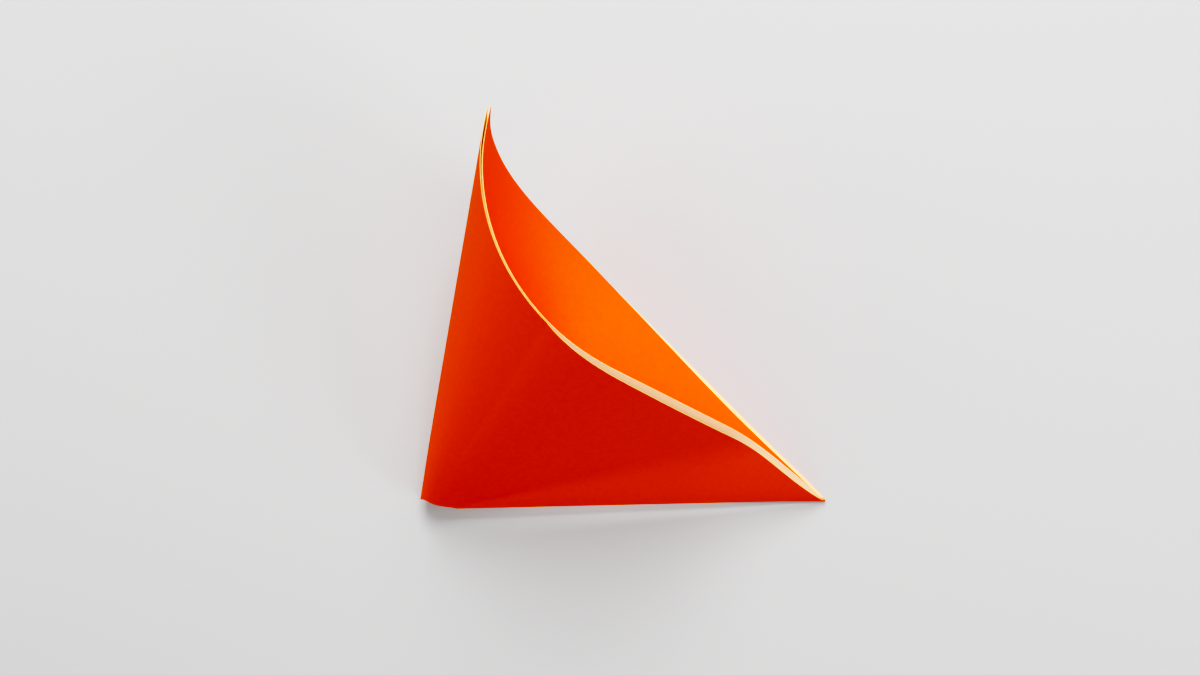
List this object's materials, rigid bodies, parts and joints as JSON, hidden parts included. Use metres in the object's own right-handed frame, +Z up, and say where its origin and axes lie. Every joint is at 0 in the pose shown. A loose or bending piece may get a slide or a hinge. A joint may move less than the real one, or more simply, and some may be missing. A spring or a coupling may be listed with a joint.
{
  "type": "folded paper triangle",
  "caption": "Square sheet of paper folded in half along its diagonal, then bent loosely in half again tip over tip, lying on its back leaf as an early step of a paper-folding model.",
  "frame": {"origin": "under the middle of the folded sheet's box, on the surface that its back leaf lies on", "axes": "+X along the first crease towards the two stacked tips, +Y from the crease towards the raised apex, +Z up"},
  "size_m": [0.1042, 0.0948, 0.0568],
  "materials": {
    "paper": "matt"
  },
  "bodies": {
    "root": {"folded_sheet": "paper"}
  },
  "joints": []
}
